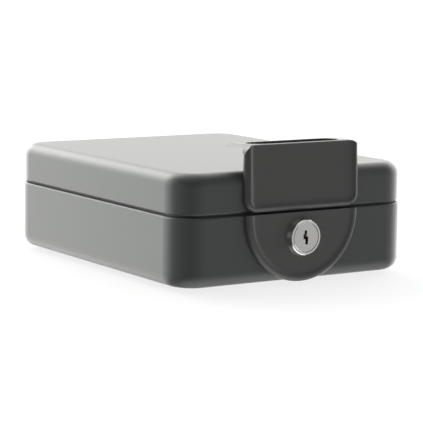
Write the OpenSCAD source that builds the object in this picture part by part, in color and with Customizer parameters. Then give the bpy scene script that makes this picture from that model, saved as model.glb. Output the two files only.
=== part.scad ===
// Key-lock steel cash box: a drawn tub, a hinged lid with a lift grip over a half-round
// lock plate, a cam lock that hooks under the lid, and a lift-out coin tray.
// Front is -Y, +X is right, and the feet stand on Z = 0.

/* [Box] */
// Width across the front
box_w = 160; // [140:1:240]
// Depth from the front face to the rear face
box_d = 198; // [170:1:300]
// Height of the tub from its floor to its rim
tub_h = 40; // [38:1:90]
// Height of the lid from its rim to its top
lid_h = 23; // [22:1:50]
// Radius of the upright corners
corner_r = 18.5; // [15:0.5:24]
// Radius round the tub floor and round the lid top
edge_r = 7.5; // [5:0.5:9]
// Thickness of the steel sheet
sheet = 1.2; // [0.8:0.1:1.6]
// Height of the folded hem at each rim
hem_h = 2.5; // [2:0.1:4]
// Gap between the two rims when the lid is shut
rim_gap = 1; // [0.6:0.1:1.5]
// How far each lid wall stands in from the tub wall
lid_inset = 0.8; // [0.4:0.1:1.2]
// Thickness of the inner lip that closes the gap
lip_t = 0.8; // [0.6:0.1:1]

/* [Lock plate] */
// Radius of the half-round plate
plate_r = 38.4; // [32:0.1:40]
// Straight height of the plate above its half circle
plate_drop = 1.6; // [0.5:0.1:4]
// Thickness at the raised border
plate_t = 3.4; // [3:0.1:5]
// Width of the raised border of the plate and the grip
border_w = 6.5; // [5:0.5:7]
// Depth of the plate's sunk field inside the border
field_drop = 0.8; // [0.4:0.1:1.2]

/* [Lift grip] */
// Width of the grip
grip_w = 78; // [60:0.5:80]
// Height from the bottom edge of the grip to its top
grip_h = 38.2; // [36:0.2:60]
// Thickness in front of the tub face
grip_t = 3.6; // [3.2:0.1:6]
// Depth of the grip's sunk field inside the border
grip_drop = 1.2; // [0.4:0.1:1.4]
// Radius of the lower corners
grip_low_r = 7.5; // [7:0.5:9]
// Radius of the upper corners
grip_top_r = 6; // [3:0.5:7]
// Angle that the face leans back
grip_lean = 2.2; // [0:0.1:3]
// Thickness of the finger flange
flange_t = 1.8; // [1.6:0.1:3]
// Reach of the finger flange behind the tub face
flange_back = 19.6; // [17:0.1:24]
// Angle that the flange slopes down to its rear edge
flange_tilt = 2; // [0:0.5:4]
// Depth of the finger recess in the flange
recess_h = 2; // [1.5:0.1:3]

/* [Lock] */
// Radius of the threaded barrel
barrel_r = 9.4; // [8:0.1:12]
// Length of the barrel behind its head
barrel_l = 20; // [17:0.5:26]
// Radius at the back of the lock head
head_r = 11.1; // [10.6:0.1:15]
// Depth of the lock head
head_h = 3.4; // [3:0.1:5]
// Radius of the turning plug
plug_r = 6; // [5.6:0.1:6.6]
// Reach of the cam from the lock axis
cam_reach = 24; // [20:0.5:28]
// Width of the cam
cam_w = 13; // [10:0.5:16]
// Thickness of the cam and the strike
cam_t = 2; // [1.5:0.1:3]

/* [Hinges] */
// Width of each hinge
hinge_w = 32; // [24:1:40]
// Distance of each hinge centre from the middle of the box
hinge_x = 38; // [30:1:44]
// Radius of the hinge knuckles
knuckle_r = 2.6; // [2.4:0.1:3.4]
// Radius of the hinge pins
pin_r = 1.2; // [1:0.1:1.5]
// Distance from the tub face to the back of the knuckles
hinge_back = 6; // [5.8:0.1:8]
// Thickness of the hinge leaves
leaf_t = 1.2; // [0.8:0.1:1.4]
// Height of the hinge leaves from the pin axis
leaf_h = 15; // [12:1:17]

/* [Tray] */
// Height of the tray
tray_h = 17; // [14:1:30]
// Thickness of the tray walls and dividers
tray_wall = 1.6; // [1.2:0.1:2.4]
// Number of coin cups in the front row
coin_cups = 4; // [3:1:5]
// Front-to-back length of the coin cups
coin_cup_l = 62; // [50:1:70]

/* [Feet] */
// Height of the feet under the tub
foot_h = 2; // [1.5:0.1:5]
// Radius of the feet
foot_r = 6; // [5:0.5:8]
// Distance of the feet from the outside faces
foot_inset = 28; // [24:1:40]

/* [Fits] */
// Clearance of each hinge pin in its lid knuckle
run_fit = 0.06; // [0.02:0.01:0.1]
// Clearance of fixed pins, screws and rivets in their holes
fixed_fit = 0.02; // [0.01:0.01:0.05]
// Clearance between pieces that pass each other
pass_gap = 0.4; // [0.3:0.05:0.6]
// Clearance round the tray in the lid opening
tray_gap = 5; // [3:0.5:7]

/* [Hidden] */
$fn = 96;
eps = 0.01;

half_w = box_w / 2;
half_d = box_d / 2;
front_y = -half_d;
rear_y = half_d;

// The hem is the sheet folded flat on itself, so its rim is a half circle
hem_t = 2 * sheet;
rim_r = sheet;

floor_z = foot_h;
tub_rim_z = floor_z + tub_h;
lid_rim_z = tub_rim_z + rim_gap;
lid_top_z = lid_rim_z + lid_h;

// Inner lip of the lid, which hangs a little way into the tub
lip_inset = lid_inset + hem_t;
lip_low_z = tub_rim_z - hem_h;
lip_high_z = lid_rim_z + hem_h + 2;

// Lock, measured forward from the tub face
plate_field = plate_t - field_drop;
bend_r = 6;
plate_edge_r = 2.6;
barrel_flat = 0.85 * barrel_r;
lock_washer_r = barrel_r + 2;
lock_washer_t = 1;
nut_flat_r = barrel_r + 1.6;
nut_t = 5;
lock_z = tub_rim_z - hem_h - lock_washer_r - pass_gap;
head_front_r = head_r - 1;
lock_face = plate_field + head_h;
barrel_end = plate_field - barrel_l;
plug_face_r = head_front_r - 1.6;
plug_gap = 0.25;
plug_face_t = 1.5;
plug_fit = 0.08;
shoulder_end = barrel_end - pass_gap;
tail_half = 0.58 * plug_r;
tail_l = cam_t + 0.6;
cam_end = shoulder_end - cam_t;
cam_washer_t = 0.8;
cam_washer_r = tail_half + 2;
cam_screw_head_h = 2.4;
cam_screw_head_r = 4.2;
cam_screw_r = 2;
cam_screw_l = 8;
key_h = 8;
key_w = 1.7;
key_bulge = 0.7;
key_depth = 15;
wafer_count = 6;
wafer_t = 1;
wafer_pitch = 2.1;
wafer_w = 0.76 * plug_r;
wafer_h = 1.8 * plug_r;

// Strike, in the plane of the cam
strike_x = cam_reach + 1.2;
strike_w = 10;
strike_foot_x = cam_w / 2 + 7;
strike_foot_z = lock_z - cam_w / 2 - 0.8;
strike_foot_h = 6;
strike_pad_l = 18;
strike_pad_t = 1.6;

// Small screws and rivets
screw_r = 1.5;
screw_head_r = 3;
screw_head_h = 1.8;
screw_bite = 1.8;
rivet_r = 1.5;
rivet_head_r = 2.7;
rivet_head_h = 1.2;
plate_screw_x = 0.72 * plate_r;
plate_screw_drop = 8;
grip_screw_x = [-30, -11, 11, 30];
grip_screw_rise = 10;

// Grip, with heights measured from its bottom edge
grip_z = lid_rim_z;
grip_half = grip_w / 2;
grip_field = grip_t - grip_drop;
grip_edge_r = 2.9;
grip_front_top = grip_t - grip_h * sin(grip_lean);
grip_fill = grip_t + flange_back;
lip_round = 2.5;
root_r = 2;
flange_corner_r = 2.5;
flange_l = grip_front_top + flange_back;
recess_front = -2;
recess_r = (flange_back - 2.1 + recess_front) / 2;
recess_mid = recess_front - recess_r - grip_front_top;
recess_half = grip_half - 8.5;
recess_floor_t = 1;

// Hinges
axis_z = tub_rim_z + rim_gap / 2;
axis_y = rear_y + hinge_back - knuckle_r;
lid_rear_y = rear_y - lid_inset;
lid_knuckle_w = 0.375 * hinge_w;
base_knuckle_w = (hinge_w - lid_knuckle_w) / 2 - pass_gap;
pin_head_r = 2;
pin_head_t = 0.8;
rivet_x = hinge_w / 2 - 6;
rivet_rise = leaf_h - 5;

// Tray and its rests
tray_inset = lip_inset + lip_t + tray_gap;
tray_half_w = half_w - tray_inset;
tray_rear = rear_y - tray_inset;
tray_front = front_y - (cam_end - cam_washer_t - cam_screw_head_h) + 4;
tray_l = tray_rear - tray_front;
tray_mid = (tray_front + tray_rear) / 2;
tray_front_r = corner_r - tray_inset;
tray_rear_r = 24;
tray_top = tub_rim_z - 2.5;
tray_floor = tray_top - tray_h;
tray_base_t = 1.4;
cup_r = 5;
scoop_r = 9;
inner_w = 2 * (tray_half_w - tray_wall);
cup_w = (inner_w - (coin_cups - 1) * tray_wall) / coin_cups;
note_l = tray_l - 3 * tray_wall - coin_cup_l;
note_w = (inner_w - tray_wall) / 2;
rest_l = 0.6 * tray_l;
rest_ledge = tray_inset - sheet + 4;
rest_leg = tray_floor - floor_z - edge_r - 2 * pass_gap;
rest_t = 1.2;

foot_x = half_w - foot_inset;
foot_y = half_d - foot_inset;
foot_stem_r = 2;
foot_barb_r = 3.2;
foot_barb_h = 1.4;

// Colours
coat = [0.22, 0.23, 0.23];
bright = [0.80, 0.81, 0.80];
zinc = [0.62, 0.63, 0.64];
steel = [0.50, 0.51, 0.52];
rubber = [0.08, 0.08, 0.08];
tray_grey = [0.17, 0.17, 0.18];

// ---- Shared shapes ----

// Places children on the front face: local X is right, Y is up, Z is forward
module on_front(z) {
  translate([0, front_y, z]) rotate([90, 0, 0]) children();
}

// Rectangle with four round corners, centred
module round_rect(w, h, r) {
  square([w, h - 2 * r], center = true);
  square([w - 2 * r, h], center = true);
  for (x = [-1, 1], y = [-1, 1]) translate([x * (w / 2 - r), y * (h / 2 - r)]) circle(r);
}

// Sweeps a profile round a rounded rectangle. The profile's X runs inward from the outside face
module round_sweep(hw, hd, r) {
  for (side = [0, 180]) rotate([0, 0, side]) {
    translate([hw, 0, 0]) rotate([90, 0, 0])
      linear_extrude(height = 2 * (hd - r), center = true) mirror([1, 0]) children();
    translate([0, hd, 0]) rotate([90, 0, 90])
      linear_extrude(height = 2 * (hw - r), center = true) mirror([1, 0]) children();
    translate([hw - r, hd - r, 0]) rotate_extrude(angle = 90) translate([r, 0]) mirror([1, 0]) children();
    translate([r - hw, hd - r, 0]) rotate([0, 0, 90])
      rotate_extrude(angle = 90) translate([r, 0]) mirror([1, 0]) children();
  }
}

// Wall of a drawn pan: a rounded bottom edge, a straight wall and a folded hem
module pan_profile(h) {
  difference() {
    intersection() {
      translate([edge_r, edge_r]) circle(edge_r);
      square(edge_r);
    }
    translate([edge_r, edge_r]) circle(edge_r - sheet);
  }
  translate([0, edge_r]) square([sheet, h - edge_r - rim_r]);
  translate([0, h - hem_h]) square([hem_t, hem_h - rim_r]);
  translate([rim_r, h - rim_r]) circle(rim_r);
}

// Drawn pan, open at the top, standing on Z = 0
module pan(hw, hd, r, h) {
  round_sweep(hw, hd, r) pan_profile(h);
  linear_extrude(height = sheet) round_rect(2 * (hw - edge_r), 2 * (hd - edge_r), r - edge_r);
}

// Half section of a plate from its middle to its edge: sunk field, soft bend, raised border
module border_profile(reach, t, round_r, drop) {
  difference() {
    union() {
      square([reach - round_r, t]);
      square([reach, t - round_r]);
      translate([reach - round_r, t - round_r]) circle(round_r);
    }
    translate([-eps, t - drop]) square([reach - border_w + eps, 2 * drop]);
    translate([reach - border_w, t - drop + bend_r]) circle(bend_r);
    translate([-1, -2 * round_r]) square([reach + 2, 2 * round_r]);
  }
}

// Pan-head screw with its shank along +Z and its head under Z = 0
module pan_screw(r, l, hr, hh) {
  cylinder(r = r, h = l - 0.4);
  translate([0, 0, l - 0.4]) cylinder(r1 = r, r2 = r - 0.4, h = 0.4);
  difference() {
    union() {
      translate([0, 0, -0.6 * hh]) cylinder(r = hr, h = 0.6 * hh);
      translate([0, 0, -hh]) cylinder(r1 = 0.7 * hr, r2 = hr, h = 0.4 * hh);
    }
    for (turn = [0, 90]) rotate([0, 0, turn])
      translate([-0.55 * hr, -0.11 * hr, -hh - eps]) cube([1.1 * hr, 0.22 * hr, 0.6 * hh]);
  }
}

// Rivet along +Z: a domed head above Z = grip and a flat head under Z = 0
module rivet(grip) {
  cylinder(r = rivet_r, h = grip);
  translate([0, 0, -0.9]) cylinder(r = rivet_head_r, h = 0.9);
  dome_r = (rivet_head_r * rivet_head_r + rivet_head_h * rivet_head_h) / (2 * rivet_head_h);
  intersection() {
    translate([0, 0, grip + rivet_head_h - dome_r]) sphere(dome_r);
    translate([0, 0, grip]) cylinder(r = rivet_head_r, h = rivet_head_h + 1);
  }
}

// Round bar with two flats, as a lock barrel or the hole that it fits
module flatted_bar(r, flat, l) {
  linear_extrude(height = l) intersection() {
    circle(r);
    square([2 * flat, 2 * r + 1], center = true);
  }
}

// ---- Tub and feet ----

module base_tub() {
  color(coat) difference() {
    translate([0, 0, floor_z]) pan(half_w, half_d, corner_r, tub_h);
    for (x = [-1, 1], y = [-1, 1]) translate([x * foot_x, y * foot_y, floor_z - 1])
      cylinder(r = foot_stem_r + fixed_fit, h = sheet + 2);
    on_front(lock_z) translate([0, 0, -hem_t - 1])
      flatted_bar(barrel_r + fixed_fit, barrel_flat + fixed_fit, hem_t + 2);
    for (x = [-1, 1]) {
      on_front(tub_rim_z - plate_screw_drop) translate([x * plate_screw_x, 0, -sheet - 1])
        cylinder(r = screw_r + fixed_fit, h = sheet + 2);
      for (side = [-1, 1]) translate([side * hinge_x + x * rivet_x, rear_y + 1, axis_z - rivet_rise])
        rotate([90, 0, 0]) cylinder(r = rivet_r + fixed_fit, h = sheet + 2);
    }
  }
}

module foot(x, y) {
  color(rubber) translate([x * foot_x, y * foot_y, 0]) {
    cylinder(r1 = foot_r - 0.8, r2 = foot_r, h = 0.8);
    translate([0, 0, 0.8]) cylinder(r = foot_r, h = foot_h - 0.8);
    translate([0, 0, foot_h]) cylinder(r = foot_stem_r, h = sheet);
    translate([0, 0, foot_h + sheet]) cylinder(r1 = foot_barb_r, r2 = 0.6 * foot_barb_r, h = foot_barb_h);
  }
}

// ---- Lock ----

module lock_plate() {
  color(coat) difference() {
    on_front(tub_rim_z - plate_drop) {
      rotate([0, 0, 180]) rotate_extrude(angle = 180)
        border_profile(plate_r, plate_t, plate_edge_r, field_drop);
      for (flip = [0, 1]) mirror([flip, 0, 0]) translate([0, plate_drop, 0]) rotate([90, 0, 0])
        linear_extrude(height = plate_drop) border_profile(plate_r, plate_t, plate_edge_r, field_drop);
    }
    on_front(lock_z) translate([0, 0, -1])
      flatted_bar(barrel_r + fixed_fit, barrel_flat + fixed_fit, plate_t + 2);
    for (x = [-1, 1]) on_front(tub_rim_z - plate_screw_drop) translate([x * plate_screw_x, 0, -1])
      cylinder(r = screw_r + fixed_fit, h = screw_bite + 1.2);
  }
}

module plate_screws() {
  color(zinc) for (x = [-1, 1]) on_front(tub_rim_z - plate_screw_drop)
    translate([x * plate_screw_x, 0, -sheet])
      pan_screw(screw_r, sheet + screw_bite, screw_head_r, screw_head_h);
}

module lock_housing() {
  thread_pitch = 1.25;
  thread_depth = 0.5;
  threads = floor((barrel_l - plate_field - sheet - 1) / thread_pitch);
  color(bright) on_front(lock_z) difference() {
    union() {
      translate([0, 0, plate_field]) cylinder(r1 = head_r, r2 = head_front_r, h = head_h - 0.3);
      translate([0, 0, lock_face - 0.3]) cylinder(r1 = head_front_r, r2 = head_front_r - 0.3, h = 0.3);
      translate([0, 0, barrel_end]) flatted_bar(barrel_r, barrel_flat, barrel_l);
    }
    translate([0, 0, lock_face - plug_face_t]) cylinder(r = plug_face_r + plug_gap, h = plug_face_t + 1);
    translate([0, 0, barrel_end - 1]) cylinder(r = plug_r + plug_fit, h = barrel_l + head_h);
    for (i = [0 : threads - 1]) translate([0, 0, barrel_end + 0.4 + i * thread_pitch])
      rotate_extrude() translate([barrel_r, thread_pitch / 2])
        polygon([[-thread_depth, 0], [eps, -thread_pitch / 2 + 0.1], [eps, thread_pitch / 2 - 0.1]]);
  }
}

module lock_washer() {
  teeth = 16;
  color(zinc) on_front(lock_z) translate([0, 0, -sheet - lock_washer_t])
    linear_extrude(height = lock_washer_t) difference() {
      circle(lock_washer_r);
      circle(barrel_r + fixed_fit);
      for (i = [0 : teeth - 1]) rotate(i * 360 / teeth)
        translate([lock_washer_r - 0.7, -0.4]) square([1.4, 0.8]);
    }
}

module lock_nut() {
  color(zinc) on_front(lock_z) translate([0, 0, -sheet - lock_washer_t - nut_t]) difference() {
    cylinder(r = nut_flat_r / cos(30), h = nut_t, $fn = 6);
    translate([0, 0, -1]) cylinder(r = barrel_r + fixed_fit, h = nut_t + 2);
  }
}

// Outline of the key slot: two leaves set to either side, and a wider middle
module key_slot() {
  translate([-0.7 * key_w, 0]) square([key_w, key_h / 2]);
  translate([-0.3 * key_w, -key_h / 2]) square([key_w, key_h / 2]);
  translate([-0.7 * key_w - key_bulge, -key_h / 8]) square([key_w, 0.36 * key_h]);
  translate([key_bulge / 4 - 0.3 * key_w, -0.3 * key_h]) square([key_w, 0.36 * key_h]);
}

module wafer_place(i) {
  translate([0, 0, lock_face - plug_face_t - 2.2 - i * wafer_pitch - wafer_t]) children();
}

module lock_plug() {
  color(bright) on_front(lock_z) difference() {
    union() {
      translate([0, 0, lock_face - plug_face_t + 0.3]) cylinder(r = plug_face_r, h = plug_face_t - 0.5);
      translate([0, 0, lock_face - 0.2]) cylinder(r1 = plug_face_r, r2 = plug_face_r - 0.2, h = 0.2);
      translate([0, 0, shoulder_end]) cylinder(r = plug_r, h = lock_face - plug_face_t + 0.4 - shoulder_end);
      translate([-tail_half, -tail_half, shoulder_end - tail_l])
        cube([2 * tail_half, 2 * tail_half, tail_l + eps]);
    }
    translate([0, 0, lock_face - key_depth]) linear_extrude(height = key_depth + 1) key_slot();
    for (i = [0 : wafer_count - 1]) wafer_place(i) linear_extrude(height = wafer_t)
      square([wafer_w + 0.2, wafer_h + 0.2], center = true);
    translate([0, 0, shoulder_end - tail_l - 1]) cylinder(r = cam_screw_r + fixed_fit, h = cam_screw_l + 1);
  }
}

module lock_wafers() {
  color([0.78, 0.66, 0.36]) on_front(lock_z) for (i = [0 : wafer_count - 1])
    wafer_place(i) linear_extrude(height = wafer_t) difference() {
      square([wafer_w, wafer_h], center = true);
      translate([0, (i % 3 - 1) * 0.4]) square([0.56 * wafer_w, key_h + 0.8], center = true);
    }
}

module lock_cam() {
  color(zinc) on_front(lock_z) translate([0, 0, cam_end]) linear_extrude(height = cam_t) difference() {
    union() {
      circle(cam_w / 2);
      translate([-cam_w / 2, 0]) square([cam_w, cam_reach - 3]);
      translate([-cam_w / 2 + 3, 0]) square([cam_w - 6, cam_reach]);
      for (x = [-1, 1]) translate([x * (cam_w / 2 - 3), cam_reach - 3]) circle(3);
    }
    square(2 * (tail_half + fixed_fit), center = true);
  }
}

module cam_washer() {
  color(zinc) on_front(lock_z) translate([0, 0, cam_end - cam_washer_t])
    linear_extrude(height = cam_washer_t) difference() {
      circle(cam_washer_r);
      square(2 * (tail_half + fixed_fit), center = true);
    }
}

module cam_screw() {
  color(zinc) on_front(lock_z) translate([0, 0, cam_end - cam_washer_t])
    pan_screw(cam_screw_r, cam_screw_l - 1, cam_screw_head_r + 0.6, cam_screw_head_h);
}

// ---- Lid and what it carries ----

module lid_shell() {
  color(coat) difference() {
    translate([0, 0, lid_top_z]) mirror([0, 0, 1])
      pan(half_w - lid_inset, half_d - lid_inset, corner_r - lid_inset, lid_h);
    for (x = grip_screw_x) on_front(grip_z + grip_screw_rise) translate([x, 0, -lid_inset - sheet - 1])
      cylinder(r = screw_r + fixed_fit, h = sheet + 2);
    for (side = [-1, 1], x = [-1, 1])
      translate([side * hinge_x + x * rivet_x, lid_rear_y + 1, axis_z + rivet_rise])
        rotate([90, 0, 0]) cylinder(r = rivet_r + fixed_fit, h = sheet + 2);
  }
}

// Strip welded inside the lid's hem. It hangs into the tub, so that the gap can't be seen through
module lid_lip() {
  color(coat) translate([0, 0, lip_low_z])
    round_sweep(half_w - lip_inset, half_d - lip_inset, corner_r - lip_inset)
      square([lip_t, lip_high_z - lip_low_z]);
}

// Extrudes a section of height and forward reach across the grip
module across(w) {
  rotate([90, 0, 90]) linear_extrude(height = w, center = true) children();
}

// Bordered face of the grip, standing on Y = 0 with its back at Z = 0
module grip_face() {
  r = grip_low_r;
  side_l = grip_h + 2 - r;
  for (flip = [0, 1]) mirror([flip, 0, 0]) translate([grip_half - r, r, 0]) {
    rotate([0, 0, 270]) rotate_extrude(angle = 90) border_profile(r, grip_t, grip_edge_r, grip_drop);
    translate([0, side_l, 0]) rotate([90, 0, 0])
      linear_extrude(height = side_l) border_profile(r, grip_t, grip_edge_r, grip_drop);
  }
  translate([0, r, 0]) across(2 * (grip_half - r)) mirror([1, 0])
    border_profile(r, grip_t, grip_edge_r, grip_drop);
  translate([r - grip_half, r, 0]) cube([2 * (grip_half - r), side_l, grip_field]);
}

// Everything behind the face that the grip may fill, before it is cut to its outlines
module grip_backing() {
  translate([-grip_half, 0, -flange_back]) cube([grip_w, grip_h, flange_back + 0.4]);
}

// Outline of the grip from the front: round at the top and rounder at the bottom
module grip_outline() {
  translate([0, (grip_h - grip_top_r) / 2]) round_rect(grip_w, grip_h - grip_top_r, grip_low_r);
  translate([0, (grip_h + grip_low_r) / 2]) round_rect(grip_w, grip_h - grip_low_r, grip_top_r);
}

// Section of the grip: an upright wall with a round front lip, and the flange behind its top
module grip_section() {
  translate([-1, -lid_inset]) square([1 + grip_h - lip_round, lid_inset + grip_t + 1]);
  translate([grip_h - lip_round - eps, -lid_inset])
    square([lip_round / 2, lid_inset + grip_front_top - lip_round]);
  translate([grip_h - lip_round, grip_front_top - lip_round]) circle(lip_round);
  translate([grip_h, grip_front_top]) rotate(-flange_tilt) {
    translate([-flange_t, -flange_l]) square([flange_t, flange_l - lip_round]);
    translate([-flange_t - root_r, -grip_front_top - lid_inset - root_r]) difference() {
      square(root_r + 0.2);
      circle(root_r);
    }
  }
}

// Outline of the finger recess, with round ends
module recess_outline(grow) {
  square([2 * (recess_half - recess_r), 2 * (recess_r + grow)], center = true);
  for (x = [-1, 1]) translate([x * (recess_half - recess_r), 0]) circle(recess_r + grow);
}

// Upright prism of the recess outline from just above the flange down to a depth
module recess_prism(grow, above, depth) {
  translate([0, grip_h, grip_front_top]) rotate([-flange_tilt, 0, 0])
    translate([0, above, recess_mid]) rotate([90, 0, 0])
      linear_extrude(height = above + depth) recess_outline(grow);
}

module lift_grip() {
  color(coat) on_front(grip_z) difference() {
    union() {
      intersection() {
        union() {
          rotate([-grip_lean, 0, 0]) grip_face();
          grip_backing();
        }
        translate([0, 0, -flange_back - 1]) linear_extrude(height = grip_fill + 2) grip_outline();
        across(grip_w + 2) grip_section();
        translate([0, grip_h + 1, (grip_fill - flange_back) / 2]) rotate([90, 0, 0])
          linear_extrude(height = grip_h + 2) round_rect(grip_w, grip_fill + flange_back, flange_corner_r);
      }
      recess_prism(recess_floor_t, -0.5, recess_h + recess_floor_t);
    }
    recess_prism(0, 1, recess_h);
    for (x = grip_screw_x) translate([x, grip_screw_rise, -lid_inset - 1])
      cylinder(r = screw_r + fixed_fit, h = screw_bite + 1.2);
  }
}

module grip_screws() {
  color(zinc) for (x = grip_screw_x) on_front(grip_z + grip_screw_rise)
    translate([x, 0, -lid_inset - sheet]) pan_screw(screw_r, sheet + screw_bite, screw_head_r, screw_head_h);
}

// Hook under the lid: a pad under the lid top, a leg beside the cam and a foot below it
module lid_strike() {
  under_top = lid_top_z - sheet;
  leg_top = under_top - strike_foot_z;
  color(zinc) {
    on_front(strike_foot_z) translate([0, 0, cam_end]) linear_extrude(height = cam_t) {
      translate([strike_x, -strike_foot_h]) square([strike_w, leg_top + strike_foot_h]);
      translate([strike_foot_x, -strike_foot_h]) square([strike_x - strike_foot_x + eps, strike_foot_h]);
    }
    translate([strike_x - 4, front_y - cam_end - eps, under_top - strike_pad_t])
      cube([strike_w + 8, strike_pad_l, strike_pad_t]);
  }
}

// ---- Hinges ----

// Bar along X with its middle at the hinge axis
module axis_bar(x, w, r) {
  translate([x - w / 2, axis_y, axis_z]) rotate([0, 90, 0]) cylinder(r = r, h = w);
}

module rivet_holes(x, y, z) {
  for (side = [-1, 1]) translate([x + side * rivet_x, y + leaf_t + 1, z])
    rotate([90, 0, 0]) cylinder(r = rivet_r + fixed_fit, h = leaf_t + 2);
}

module base_leaf(x) {
  top = knuckle_r + pass_gap;
  color(coat) difference() {
    union() {
      translate([x - hinge_w / 2, rear_y, axis_z - leaf_h]) cube([hinge_w, leaf_t, leaf_h - top]);
      for (side = [-1, 1]) {
        mid = x + side * (hinge_w - base_knuckle_w) / 2;
        translate([mid - base_knuckle_w / 2, rear_y, axis_z - top - eps])
          cube([base_knuckle_w, leaf_t, top + eps]);
        translate([mid - base_knuckle_w / 2, rear_y, axis_z - knuckle_r])
          cube([base_knuckle_w, axis_y - rear_y, knuckle_r]);
        axis_bar(mid, base_knuckle_w, knuckle_r);
      }
    }
    axis_bar(x, hinge_w + 2, pin_r + fixed_fit);
    rivet_holes(x, rear_y, axis_z - rivet_rise);
  }
}

module lid_leaf(x) {
  low = rim_gap / 2 + rim_r;
  // The wide part starts above the tub knuckles where they reach as far in as the leaf
  clear_r = knuckle_r + pass_gap;
  leaf_gap = axis_y - lid_rear_y - leaf_t;
  wide_low = max(low, leaf_gap < clear_r ? sqrt(clear_r * clear_r - leaf_gap * leaf_gap) : 0);
  color(coat) difference() {
    union() {
      translate([x - hinge_w / 2, lid_rear_y, axis_z + wide_low]) cube([hinge_w, leaf_t, leaf_h - wide_low]);
      translate([x - lid_knuckle_w / 2, lid_rear_y, axis_z + low - 1])
        cube([lid_knuckle_w, leaf_t, wide_low - low + 1 + eps]);
      translate([x - lid_knuckle_w / 2, lid_rear_y, axis_z])
        cube([lid_knuckle_w, axis_y - lid_rear_y, knuckle_r]);
      axis_bar(x, lid_knuckle_w, knuckle_r);
    }
    axis_bar(x, hinge_w + 2, pin_r + run_fit);
    rivet_holes(x, lid_rear_y, axis_z + rivet_rise);
  }
}

module hinge_pin(x) {
  color(steel) {
    axis_bar(x, hinge_w, pin_r);
    for (side = [-1, 1]) axis_bar(x + side * (hinge_w + pin_head_t) / 2, pin_head_t, pin_head_r);
  }
}

module hinge_rivets(inner_y, z) {
  color(coat) for (side = [-1, 1], x = [-1, 1])
    translate([side * hinge_x + x * rivet_x, inner_y, z]) rotate([-90, 0, 0]) rivet(sheet + leaf_t);
}

// ---- Tray ----

module tray_rest(side) {
  wall_x = half_w - sheet;
  top = tray_floor - pass_gap;
  color(coat) scale([side, 1, 1]) translate([0, tray_mid - rest_l / 2, 0]) {
    translate([wall_x - rest_t, 0, top - rest_leg]) cube([rest_t, rest_l, rest_leg]);
    translate([wall_x - rest_ledge, 0, top - rest_t]) cube([rest_ledge, rest_l, rest_t]);
  }
}

// Section of a coin cup from front to back, with a scooped floor
module scoop_section() {
  translate([scoop_r, 0]) square([coin_cup_l - 2 * scoop_r, tray_h]);
  translate([0, scoop_r]) square([coin_cup_l, tray_h]);
  for (y = [scoop_r, coin_cup_l - scoop_r]) translate([y, scoop_r]) circle(scoop_r);
}

module tray_pockets() {
  floor_top = tray_floor + tray_base_t;
  first_y = tray_front + tray_wall;
  for (i = [0 : coin_cups - 1]) {
    mid_x = -inner_w / 2 + cup_w / 2 + i * (cup_w + tray_wall);
    intersection() {
      translate([mid_x, first_y, floor_top]) across(cup_w) scoop_section();
      translate([mid_x, first_y + coin_cup_l / 2, floor_top])
        linear_extrude(height = tray_h) round_rect(cup_w, coin_cup_l, cup_r);
    }
  }
  for (side = [-1, 1])
    translate([side * (note_w + tray_wall) / 2, tray_rear - tray_wall - note_l / 2, floor_top])
      linear_extrude(height = tray_h) round_rect(note_w, note_l, cup_r);
}

// Outline of the tray, or of the room inside its walls. The rear corners are the rounder ones
module tray_outline(inset) {
  for (end = [[-1, tray_front_r], [1, tray_rear_r]]) intersection() {
    round_rect(2 * (tray_half_w - inset), tray_l - 2 * inset, end[1] - inset);
    translate([0, end[0] * tray_l / 4]) square([box_w, tray_l / 2 + 2 * eps], center = true);
  }
}

module coin_tray() {
  color(tray_grey) difference() {
    translate([0, tray_mid, tray_floor]) linear_extrude(height = tray_h) tray_outline(0);
    intersection() {
      tray_pockets();
      translate([0, tray_mid, tray_floor]) linear_extrude(height = 2 * tray_h) tray_outline(tray_wall);
    }
  }
}

base_tub();
foot(-1, -1);  // foot_front_left
foot(1, -1);  // foot_front_right
foot(-1, 1);  // foot_rear_left
foot(1, 1);  // foot_rear_right
lock_plate();
plate_screws();
lock_housing();
lock_washer();
lock_nut();
lock_plug();
lock_wafers();
lock_cam();
cam_washer();
cam_screw();
lid_shell();
lid_lip();
lift_grip();
grip_screws();
lid_strike();
base_leaf(-hinge_x);  // base_leaf_left
base_leaf(hinge_x);  // base_leaf_right
lid_leaf(-hinge_x);  // lid_leaf_left
lid_leaf(hinge_x);  // lid_leaf_right
hinge_pin(-hinge_x);  // hinge_pin_left
hinge_pin(hinge_x);  // hinge_pin_right
hinge_rivets(rear_y - sheet, axis_z - rivet_rise);  // base_hinge_rivets
hinge_rivets(lid_rear_y - sheet, axis_z + rivet_rise);  // lid_hinge_rivets
tray_rest(-1);  // tray_rest_left
tray_rest(1);  // tray_rest_right
coin_tray();
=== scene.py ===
"""Looks of a steel cash box: finishes, studio light and camera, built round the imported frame."""

import logging
import math
from dataclasses import dataclass, field
from enum import Enum
from typing import Any, Dict, List, Sequence, Tuple, Union

import bpy
from mathutils import Matrix, Vector

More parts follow.
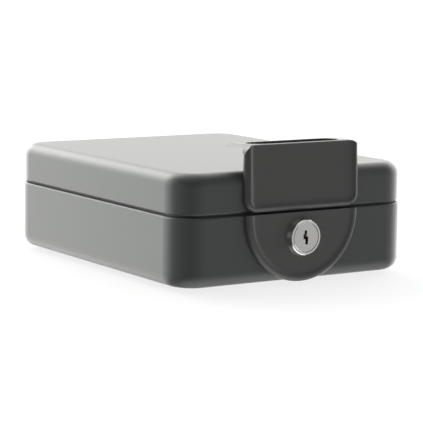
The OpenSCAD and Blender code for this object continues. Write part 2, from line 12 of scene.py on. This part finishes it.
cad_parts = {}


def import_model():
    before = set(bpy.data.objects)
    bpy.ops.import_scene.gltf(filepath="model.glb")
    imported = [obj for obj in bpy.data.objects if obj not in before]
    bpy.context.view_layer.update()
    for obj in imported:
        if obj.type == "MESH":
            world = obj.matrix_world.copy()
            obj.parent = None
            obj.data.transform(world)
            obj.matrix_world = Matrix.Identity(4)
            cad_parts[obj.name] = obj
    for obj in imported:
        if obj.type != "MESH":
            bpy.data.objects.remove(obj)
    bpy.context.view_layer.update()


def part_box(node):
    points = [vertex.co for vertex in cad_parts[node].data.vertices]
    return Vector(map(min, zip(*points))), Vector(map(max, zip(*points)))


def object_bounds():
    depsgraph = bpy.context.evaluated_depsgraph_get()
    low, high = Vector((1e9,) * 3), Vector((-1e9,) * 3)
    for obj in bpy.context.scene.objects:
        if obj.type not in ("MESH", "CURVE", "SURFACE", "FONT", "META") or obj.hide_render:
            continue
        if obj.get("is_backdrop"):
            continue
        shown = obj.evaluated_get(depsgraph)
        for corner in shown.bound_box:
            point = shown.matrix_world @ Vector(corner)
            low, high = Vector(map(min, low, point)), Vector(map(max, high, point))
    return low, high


LOG = logging.getLogger("cash_box")

Colour = Tuple[float, float, float]
Number = Union["Wire", float]


class Side(Enum):
    """Sides of the box, as the names of its paired pieces end."""

    LEFT = "left"
    RIGHT = "right"


class End(Enum):
    """Ends of the box, as the names of its feet have them."""

    FRONT = "front"
    REAR = "rear"


class Wire:
    """A number socket in a shader, which takes part in sums as a plain number does."""

    def __init__(self, graph: "Graph", socket: bpy.types.NodeSocket) -> None:
        """Keeps the socket and the graph that it belongs to."""
        self.graph = graph
        self.socket = socket

    def _math(self, operation: str, first: Number, second: Number) -> "Wire":
        """Adds one Math node.

        Args:
            operation: the node's operation.
            first: the value or wire of its first input.
            second: the value or wire of its second input.

        Returns:
            The node's result.
        """
        made = self.graph.node("ShaderNodeMath", {"operation": operation}, {0: first, 1: second})
        return Wire(self.graph, made.outputs[0])

    def __add__(self, other: Number) -> "Wire":
        """Sum."""
        return self._math("ADD", self, other)

    def __radd__(self, other: Number) -> "Wire":
        """Sum with a number on the left."""
        return self._math("ADD", other, self)

    def __sub__(self, other: Number) -> "Wire":
        """Difference."""
        return self._math("SUBTRACT", self, other)

    def __rsub__(self, other: Number) -> "Wire":
        """Difference with a number on the left."""
        return self._math("SUBTRACT", other, self)

    def __mul__(self, other: Number) -> "Wire":
        """Product."""
        return self._math("MULTIPLY", self, other)

    def __rmul__(self, other: Number) -> "Wire":
        """Product with a number on the left."""
        return self._math("MULTIPLY", other, self)


class Graph:
    """The node tree of one material or world, with short ways to add to it."""

    def __init__(self, tree: bpy.types.NodeTree) -> None:
        """Empties the tree.

        Args:
            tree: the node tree to fill.
        """
        self.tree = tree
        tree.nodes.clear()

    def node(self, kind: str, settings: Dict[str, Any], inputs: Dict[Any, Any]) -> bpy.types.Node:
        """Adds any node.

        Args:
            kind: the node's type name.
            settings: properties that are set first. The key "stops" fills a colour ramp.
            inputs: values, wires or sockets by input name or number.

        Returns:
            The new node.
        """
        made = self.tree.nodes.new(kind)
        for name, value in settings.items():
            if name == "stops":
                self._fill_ramp(made.color_ramp, value)
            else:
                setattr(made, name, value)
        for name, value in inputs.items():
            if isinstance(value, Wire):
                value = value.socket
            if isinstance(value, bpy.types.NodeSocket):
                self.tree.links.new(value, made.inputs[name])
            else:
                made.inputs[name].default_value = value
        return made

    @staticmethod
    def _fill_ramp(ramp: bpy.types.ColorRamp, stops: Sequence[Tuple[float, float]]) -> None:
        """Gives a ramp its grey stops, as pairs of place and value."""
        while len(ramp.elements) < len(stops):
            ramp.elements.new(0.5)
        for element, (place, value) in zip(ramp.elements, stops):
            element.position = place
            element.color = (value, value, value, 1.0)

    def place(self) -> bpy.types.NodeSocket:
        """Position on the piece, in metres, which moves with the piece."""
        return self.node("ShaderNodeTexCoord", {}, {}).outputs["Object"]

    def stretched(self, scale: Sequence[float]) -> bpy.types.NodeSocket:
        """Position on the piece with each axis scaled.

        Args:
            scale: factor of each axis.

        Returns:
            The scaled position.
        """
        inputs = {0: self.place(), 1: tuple(scale)}
        return self.node("ShaderNodeVectorMath", {"operation": "MULTIPLY"}, inputs).outputs[0]

    def noise(self, scale: float, detail: float = 2.0, where: Any = None) -> Wire:
        """Adds a noise pattern.

        Args:
            scale: how many features to the metre, before any stretch.
            detail: number of finer layers.
            where: position socket, or None for the plain position.

        Returns:
            The pattern, from nought to one.
        """
        inputs = {"Vector": where or self.place(), "Scale": scale, "Detail": detail}
        return Wire(self, self.node("ShaderNodeTexNoise", {}, inputs).outputs["Fac"])

    def cells(self, scale: float) -> Wire:
        """Distance to the nearest point of a scatter with the given number of points to the metre."""
        inputs = {"Vector": self.place(), "Scale": scale}
        return Wire(self, self.node("ShaderNodeTexVoronoi", {}, inputs).outputs["Distance"])

    def ramp(self, value: Wire, stops: Sequence[Tuple[float, float]]) -> Wire:
        """Remaps a value through grey stops, given as pairs of place and value."""
        made = self.node("ShaderNodeValToRGB", {"stops": stops}, {"Fac": value})
        return Wire(self, made.outputs["Color"])

    def colours(self, factor: Number, first: Any, second: Any) -> bpy.types.NodeSocket:
        """Mixes two colours.

        Args:
            factor: share of the second colour.
            first: colour or socket.
            second: colour or socket.

        Returns:
            The mixed colour.
        """
        inputs = {0: factor, 6: solid(first), 7: solid(second)}
        return self.node("ShaderNodeMix", {"data_type": "RGBA"}, inputs).outputs[2]

    def bump(self, height: Wire, strength: float, distance: float) -> bpy.types.NodeSocket:
        """Turns a height pattern into a normal.

        Args:
            height: the pattern.
            strength: share of the effect.
            distance: height in metres that one unit of the pattern stands for.

        Returns:
            The normal.
        """
        inputs = {"Height": height, "Strength": strength, "Distance": distance}
        return self.node("ShaderNodeBump", {}, inputs).outputs["Normal"]

    def surface(self, inputs: Dict[str, Any]) -> None:
        """Adds the main shader with its inputs, and joins it to the output."""
        shader = self.node("ShaderNodeBsdfPrincipled", {}, inputs)
        self.node("ShaderNodeOutputMaterial", {}, {"Surface": shader.outputs[0]})


def solid(colour: Any) -> Any:
    """Gives a colour of three numbers its alpha, and leaves a socket as it is."""
    if isinstance(colour, tuple) and len(colour) == 3:
        return (*colour, 1.0)
    return colour


def shade(colour: Colour, factor: float) -> Colour:
    """Lighter or darker form of a colour."""
    return tuple(factor * value for value in colour)


@dataclass(frozen=True)
class Finish:
    """A named finish. Each kind of finish fills its own shader."""

    name: str

    def fill(self, graph: Graph) -> None:
        """Adds the finish's nodes to an empty graph."""
        raise NotImplementedError

    def material(self) -> bpy.types.Material:
        """Makes the material, or returns it if it was made before."""
        found = bpy.data.materials.get(self.name)
        if found:
            return found
        made = bpy.data.materials.new(self.name)
        made.use_nodes = True
        self.fill(Graph(made.node_tree))
        return made


@dataclass(frozen=True)
class PowderCoat(Finish):
    """Baked powder on steel: an even colour over a fine pebbled skin."""

    colour: Colour = (0.0048, 0.0051, 0.0051)
    roughness: float = 0.26
    pebble: float = 1500.0
    pebble_height: float = 0.00008
    swell: float = 260.0
    shine: float = 0.36

    def fill(self, graph: Graph) -> None:
        """Adds the powder's colour drift, specks, pebbles and long swell."""
        pebbles = graph.noise(self.pebble, 3.0)
        swell = graph.noise(self.swell, 1.0)
        drift = graph.noise(18.0, 3.0)
        specks = graph.ramp(graph.noise(2600.0, 1.0), [(0.62, 0.0), (0.78, 1.0)])
        base = graph.colours(drift, shade(self.colour, 0.86), shade(self.colour, 1.22))
        speckled = graph.colours(0.35 * specks, base, shade(self.colour, 1.9))
        roughness = self.roughness - 0.05 + 0.06 * drift + 0.05 * pebbles
        graph.surface({
            "Base Color": speckled,
            "Specular IOR Level": self.shine,
            "Roughness": roughness,
            "Normal": graph.bump(pebbles + 0.9 * swell, 0.6, self.pebble_height),
        })


@dataclass(frozen=True)
class PlatedMetal(Finish):
    """Bright or satin plated metal with faint wiping marks."""

    colour: Colour = (0.78, 0.78, 0.77)
    roughness: float = 0.10
    haze: float = 0.08
    grain: float = 900.0
    grain_height: float = 0.000004
    metal: float = 1.0

    def fill(self, graph: Graph) -> None:
        """Adds the plate's haze, fine grain and faint marks."""
        grain = graph.noise(self.grain, 4.0)
        haze = graph.noise(120.0, 3.0)
        marks = graph.noise(420.0, 2.0, graph.stretched((1.0, 1.0, 7.0)))
        scratches = graph.ramp(marks, [(0.60, 0.0), (0.66, 1.0)])
        colour = graph.colours(0.5 * haze, self.colour, shade(self.colour, 0.88))
        graph.surface({
            "Base Color": colour,
            "Metallic": self.metal,
            "Roughness": self.roughness + self.haze * haze + 0.04 * scratches,
            "Normal": graph.bump(grain + 0.3 * scratches, 0.5, self.grain_height),
        })


@dataclass(frozen=True)
class TurnedMetal(Finish):
    """Satin plated face with the rings of a lathe tool round a centre in the XZ plane."""

    centre: Tuple[float, float] = (0.0, 0.0)
    colour: Colour = (0.32, 0.32, 0.31)
    roughness: float = 0.24
    rings: float = 9000.0

    def fill(self, graph: Graph) -> None:
        """Adds the tool rings, speckle and haze."""
        shift = (-self.centre[0], 0.0, -self.centre[1])
        moved = graph.node("ShaderNodeVectorMath", {"operation": "ADD"}, {0: graph.place(), 1: shift})
        across = {0: moved.outputs[0], 1: (1.0, 0.0, 1.0)}
        flat = graph.node("ShaderNodeVectorMath", {"operation": "MULTIPLY"}, across)
        length = graph.node("ShaderNodeVectorMath", {"operation": "LENGTH"}, {0: flat.outputs[0]})
        radius = Wire(graph, length.outputs["Value"])
        axis = graph.node("ShaderNodeCombineXYZ", {}, {0: radius * self.rings})
        rings = graph.noise(1.0, 3.0, axis.outputs[0])
        speckle = graph.noise(2200.0, 2.0)
        haze = graph.noise(150.0, 2.0)
        colour = graph.colours(speckle, shade(self.colour, 0.82), shade(self.colour, 1.12))
        graph.surface({
            "Base Color": colour,
            "Metallic": 1.0,
            "Roughness": self.roughness + 0.10 * rings + 0.08 * haze,
            "Normal": graph.bump(rings + 0.8 * speckle, 0.55, 0.00001),
        })


@dataclass(frozen=True)
class DrawnWire(Finish):
    """Steel wire with drawing lines along its length, which runs along X."""

    colour: Colour = (0.42, 0.43, 0.44)

    def fill(self, graph: Graph) -> None:
        """Adds the drawing lines and dull patches."""
        lines = graph.noise(2500.0, 3.0, graph.stretched((0.03, 1.0, 1.0)))
        patches = graph.noise(240.0, 3.0)
        graph.surface({
            "Base Color": graph.colours(patches, self.colour, shade(self.colour, 0.75)),
            "Metallic": 1.0,
            "Roughness": 0.24 + 0.16 * lines + 0.08 * patches,
            "Normal": graph.bump(lines, 0.5, 0.00001),
        })


@dataclass(frozen=True)
class Moulded(Finish):
    """Moulded plastic or rubber with a fine pitted grain."""

    colour: Colour = (0.035, 0.035, 0.037)
    roughness: float = 0.48
    grain: float = 1800.0
    grain_height: float = 0.00003

    def fill(self, graph: Graph) -> None:
        """Adds the mould grain, flow marks and slight fading."""
        pits = graph.cells(self.grain)
        flow = graph.noise(40.0, 3.0, graph.stretched((1.0, 0.35, 1.0)))
        fine = graph.noise(3200.0, 1.0)
        colour = graph.colours(flow, shade(self.colour, 0.85), shade(self.colour, 1.25))
        graph.surface({
            "Base Color": colour,
            "Roughness": self.roughness + 0.08 * flow + 0.08 * fine,
            "Normal": graph.bump(pits + 0.4 * fine, 0.5, self.grain_height),
        })


@dataclass(frozen=True)
class PaleFloor(Finish):
    """Plain pale studio floor that glows a little, so that shadows on it stay faint."""

    colour: Colour = (0.14, 0.14, 0.14)
    glow_colour: Colour = (0.98, 0.98, 0.98)
    glow: float = 0.82

    def fill(self, graph: Graph) -> None:
        """Adds a nearly even matt surface."""
        drift = graph.noise(1.5, 2.0)
        colour = graph.colours(drift, shade(self.colour, 0.99), self.colour)
        graph.surface({
            "Base Color": colour,
            "Roughness": 0.9,
            "Specular IOR Level": 0.1,
            "Emission Color": solid(self.glow_colour),
            "Emission Strength": self.glow,
        })


def dress(finish: Finish, *nodes: str) -> None:
    """Gives nodes of the frame one finish.

    Args:
        finish: the finish.
        nodes: names of the nodes.
    """
    material = finish.material()
    for name in nodes:
        mesh = bpy.data.objects[name].data
        mesh.materials.clear()
        mesh.materials.append(material)
        for face in mesh.polygons:
            face.material_index = 0
    LOG.info("dressed %s in %s", ", ".join(nodes), finish.name)


@dataclass
class Shells:
    """Tub, lid, the lid's lip and the ledges for the tray."""

    nodes: Tuple[str, ...] = ("base_tub", "lid_shell", "lid_lip", "tray_rest_left", "tray_rest_right")
    coat: PowderCoat = PowderCoat("box_coat")

    def build(self) -> None:
        """Dresses the shells."""
        dress(self.coat, *self.nodes)


@dataclass
class Trim:
    """Lift grip and half-round plate on the front."""

    coat: PowderCoat = PowderCoat("trim_coat", (0.0044, 0.0044, 0.0047), 0.25, 2200.0, 0.00002, 300.0)

    def build(self) -> None:
        """Dresses the trim."""
        dress(self.coat, "lift_grip", "lock_plate")


@dataclass
class Lock:
    """Cam lock with its plug, wafers, nut, washers and cam."""

    chrome: PlatedMetal = PlatedMetal("lock_chrome", (0.76, 0.76, 0.75), 0.26, metal=0.55)
    brass: PlatedMetal = PlatedMetal("wafer_brass", (0.65, 0.50, 0.22), 0.28, 0.14, 700.0, 0.000008)
    zinc: PlatedMetal = PlatedMetal("zinc_hardware", (0.55, 0.56, 0.57), 0.26, 0.14, 500.0, 0.00001)

    def build(self) -> None:
        """Dresses the lock and the small hardware."""
        low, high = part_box("lock_housing")
        centre = (0.0, (low[2] + high[2]) / 2)
        dress(self.chrome, "lock_housing")
        dress(TurnedMetal("plug_face", centre), "lock_plug")
        dress(self.brass, "lock_wafers")
        dress(self.zinc, "lock_washer", "lock_nut", "lock_cam", "cam_washer", "cam_screw", "lid_strike")
        dress(self.zinc, "plate_screws", "grip_screws")


@dataclass
class Hinges:
    """Two hinges with their pins and rivets."""

    coat: PowderCoat = PowderCoat("hinge_coat", (0.0056, 0.0058, 0.0058), 0.30, 1700.0, 0.000015, 280.0)
    wire: DrawnWire = DrawnWire("pin_steel")

    def build(self) -> None:
        """Dresses the hinges."""
        leaves = [f"{kind}_leaf_{side.value}" for kind in ("base", "lid") for side in Side]
        dress(self.coat, *leaves, "base_hinge_rivets", "lid_hinge_rivets")
        dress(self.wire, *[f"hinge_pin_{side.value}" for side in Side])


@dataclass
class TrayAndFeet:
    """Coin tray and rubber feet."""

    plastic: Moulded = Moulded("tray_plastic")
    rubber: Moulded = Moulded("foot_rubber", (0.020, 0.020, 0.020), 0.62, 1300.0, 0.00005)

    def build(self) -> None:
        """Dresses the tray and the feet."""
        dress(self.plastic, "coin_tray")
        dress(self.rubber, *[f"foot_{end.value}_{side.value}" for end in End for side in Side])


def heading(azimuth: float, elevation: float) -> Vector:
    """Unit vector from the box towards a viewer. Azimuth 0 is in front and 90 is at the right."""
    a, e = math.radians(azimuth), math.radians(elevation)
    return Vector((math.sin(a) * math.cos(e), -math.cos(a) * math.cos(e), math.sin(e)))


@dataclass(frozen=True)
class Glow:
    """A soft bright patch of the surroundings.

    It is at full strength within the inner angle of its centre and fades out at the outer one.
    """

    azimuth: float
    elevation: float
    inner: float
    outer: float
    strength: float

    def seen(self, graph: Graph, direction: bpy.types.NodeSocket) -> Wire:
        """Brightness of the patch along a direction.

        Args:
            graph: the world's graph.
            direction: socket of the direction that is looked along.

        Returns:
            The brightness.
        """
        centre = tuple(heading(self.azimuth, self.elevation))
        inputs = {0: direction, 1: centre}
        towards = graph.node("ShaderNodeVectorMath", {"operation": "DOT_PRODUCT"}, inputs)
        limits = {
            "Value": towards.outputs["Value"],
            "From Min": math.cos(math.radians(self.outer)),
            "From Max": math.cos(math.radians(self.inner)),
            "To Max": self.strength,
        }
        fade = graph.node("ShaderNodeMapRange", {"interpolation_type": "SMOOTHSTEP"}, limits)
        return Wire(graph, fade.outputs[0])


@dataclass
class Studio:
    """Floor, light and camera."""

    floor_half: float = 30.0
    azimuth: float = -32.90
    elevation: float = 7.84
    roll: float = 0.84
    distance: float = 1.153
    lens: float = 160.9
    sensor: float = 36.0
    shift: Tuple[float, float] = (0.0139, -0.0187)
    dim: float = 0.12
    light_colour: Colour = (1.0, 1.0, 0.975)
    glows: List[Glow] = field(default_factory=lambda: [
        Glow(-152.0, 2.0, 38.0, 50.0, 3.2),
        Glow(152.0, 14.0, 32.0, 72.0, 2.6),
        Glow(34.0, 0.0, 22.0, 50.0, 0.46),
        Glow(104.0, 0.0, 18.0, 44.0, 3.0),
        Glow(20.0, -70.0, 25.0, 52.0, 2.0),
        Glow(0.0, 90.0, 14.0, 42.0, 0.9),
        Glow(-172.0, 36.0, 10.0, 30.0, 3.4),
        Glow(-78.0, 6.0, 8.0, 20.0, 1.0),
    ])

    def target(self) -> Vector:
        """Middle of the closed shell."""
        tub_low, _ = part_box("base_tub")
        _, lid_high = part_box("lid_shell")
        return Vector((0.0, 0.0, (tub_low[2] + lid_high[2]) / 2))

    def build_floor(self) -> None:
        """Makes the floor plane at the feet."""
        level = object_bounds()[0][2]
        half = self.floor_half
        mesh = bpy.data.meshes.new("floor")
        points = [(-half, -half, level), (half, -half, level), (half, half, level), (-half, half, level)]
        mesh.from_pydata(points, [], [(0, 1, 2, 3)])
        floor = bpy.data.objects.new("floor", mesh)
        bpy.context.scene.collection.objects.link(floor)
        mesh.materials.append(PaleFloor("pale_floor").material())
        floor.visible_glossy = False
        floor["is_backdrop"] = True

    def build_sky(self) -> None:
        """Fills the surroundings with soft bright patches, like cards round a table."""
        world = bpy.data.worlds.new("studio")
        world.use_nodes = True
        graph = Graph(world.node_tree)
        direction = graph.node("ShaderNodeTexCoord", {}, {}).outputs["Generated"]
        total: Number = self.dim
        for glow in self.glows:
            total = total + glow.seen(graph, direction)
        inputs = {"Color": solid(self.light_colour), "Strength": total}
        light = graph.node("ShaderNodeBackground", {}, inputs)
        graph.node("ShaderNodeOutputWorld", {}, {"Surface": light.outputs[0]})
        bpy.context.scene.world = world

    def build_camera(self) -> None:
        """Places the camera, with a slight roll and shift."""
        back = heading(self.azimuth, self.elevation)
        a, r = math.radians(self.azimuth), math.radians(self.roll)
        level_right = Vector((math.cos(a), math.sin(a), 0.0))
        level_up = back.cross(level_right)
        right = math.cos(r) * level_right + math.sin(r) * level_up
        up = math.cos(r) * level_up - math.sin(r) * level_right
        data = bpy.data.cameras.new("camera")
        data.sensor_width = self.sensor
        data.lens = self.lens
        data.shift_x, data.shift_y = self.shift
        camera = bpy.data.objects.new("camera", data)
        turn = Matrix((right, up, back)).transposed().to_4x4()
        camera.matrix_world = Matrix.Translation(self.target() + self.distance * back) @ turn
        bpy.context.scene.collection.objects.link(camera)
        bpy.context.scene.camera = camera

    def build(self) -> None:
        """Builds the whole studio."""
        self.build_floor()
        self.build_sky()
        self.build_camera()
        bpy.context.scene.view_settings.view_transform = "Standard"
        LOG.info("studio ready")


def main() -> None:
    """Builds every sub-assembly in order."""
    logging.basicConfig(level=logging.INFO, format="%(name)s: %(message)s")
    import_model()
    for part in (Shells(), Trim(), Lock(), Hinges(), TrayAndFeet(), Studio()):
        part.build()
        LOG.info("built %s", type(part).__name__)


if __name__ == "__main__":
    main()
